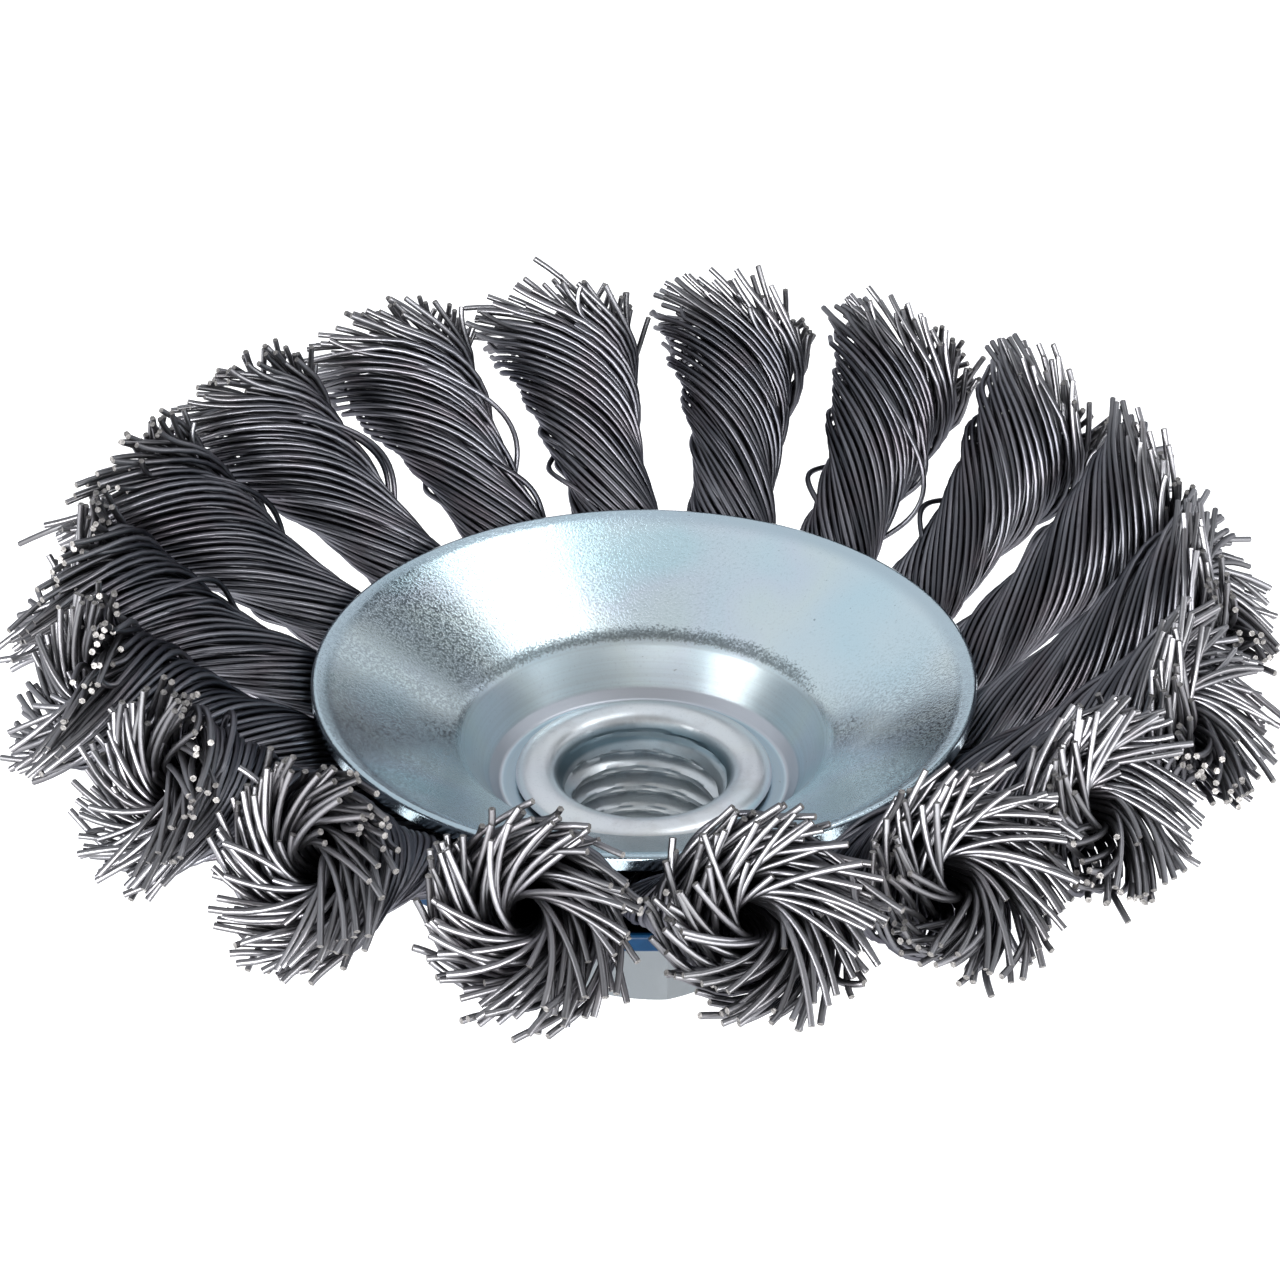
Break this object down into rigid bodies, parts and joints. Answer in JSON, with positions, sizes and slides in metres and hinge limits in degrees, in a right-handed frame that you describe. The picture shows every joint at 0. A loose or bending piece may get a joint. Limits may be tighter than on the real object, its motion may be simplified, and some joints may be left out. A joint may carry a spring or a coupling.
{
  "type": "conical knotted wire brush",
  "caption": "Conical wire brush for an angle grinder: twisted knots of steel wire clamped between a zinc-plated dish and a blue back plate on a threaded hexagon hub.",
  "frame": {"origin": "middle of the hub nut's lower face, on which the brush lies", "axes": "+Z along the bore, from the nut towards the dish and the bristle tips; +Y away from the camera of the picture; +X to its right"},
  "size_m": [0.1016, 0.1002, 0.0411],
  "materials": {
    "zinc": "zinc plated and blue passivated, satin",
    "blue_lacquer": "semi-gloss lacquer",
    "disc_steel": "plain rolled, lightly oiled",
    "knot_wire": "hardened drawn wire, dark, with bright cut ends"
  },
  "bodies": {
    "root": {"threaded_hub": "zinc", "front_plate": "zinc", "back_plate": "blue_lacquer", "holding_disc": "disc_steel", "knot_01": "knot_wire", "knot_02": "knot_wire", "knot_03": "knot_wire", "knot_04": "knot_wire", "knot_05": "knot_wire", "knot_06": "knot_wire", "knot_07": "knot_wire", "knot_08": "knot_wire", "knot_09": "knot_wire", "knot_10": "knot_wire", "knot_11": "knot_wire", "knot_12": "knot_wire", "knot_13": "knot_wire", "knot_14": "knot_wire", "knot_15": "knot_wire", "knot_16": "knot_wire", "knot_17": "knot_wire", "knot_18": "knot_wire"}
  },
  "joints": []
}
